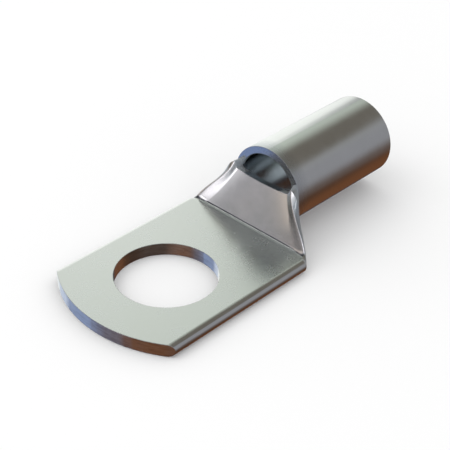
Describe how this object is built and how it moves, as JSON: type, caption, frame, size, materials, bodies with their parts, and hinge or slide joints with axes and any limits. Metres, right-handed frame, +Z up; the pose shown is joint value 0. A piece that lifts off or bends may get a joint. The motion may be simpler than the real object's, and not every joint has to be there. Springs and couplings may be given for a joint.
{
  "type": "cable lug",
  "caption": "Tubular crimp lug for a heavy cable: round open barrel with a sight opening, pressed flat into a bolted palm.",
  "frame": {"origin": "on the bolt hole's axis, at the palm's underside", "axes": "+X runs back along the crimp barrel to its mouth, +Y across the palm, +Z up out of the palm's top face"},
  "size_m": [0.0643, 0.0274, 0.0156],
  "materials": {
    "tinned_copper": "smooth tin plate over copper, satin gloss"
  },
  "bodies": {
    "root": {"lug_body": "tinned_copper"}
  },
  "joints": []
}
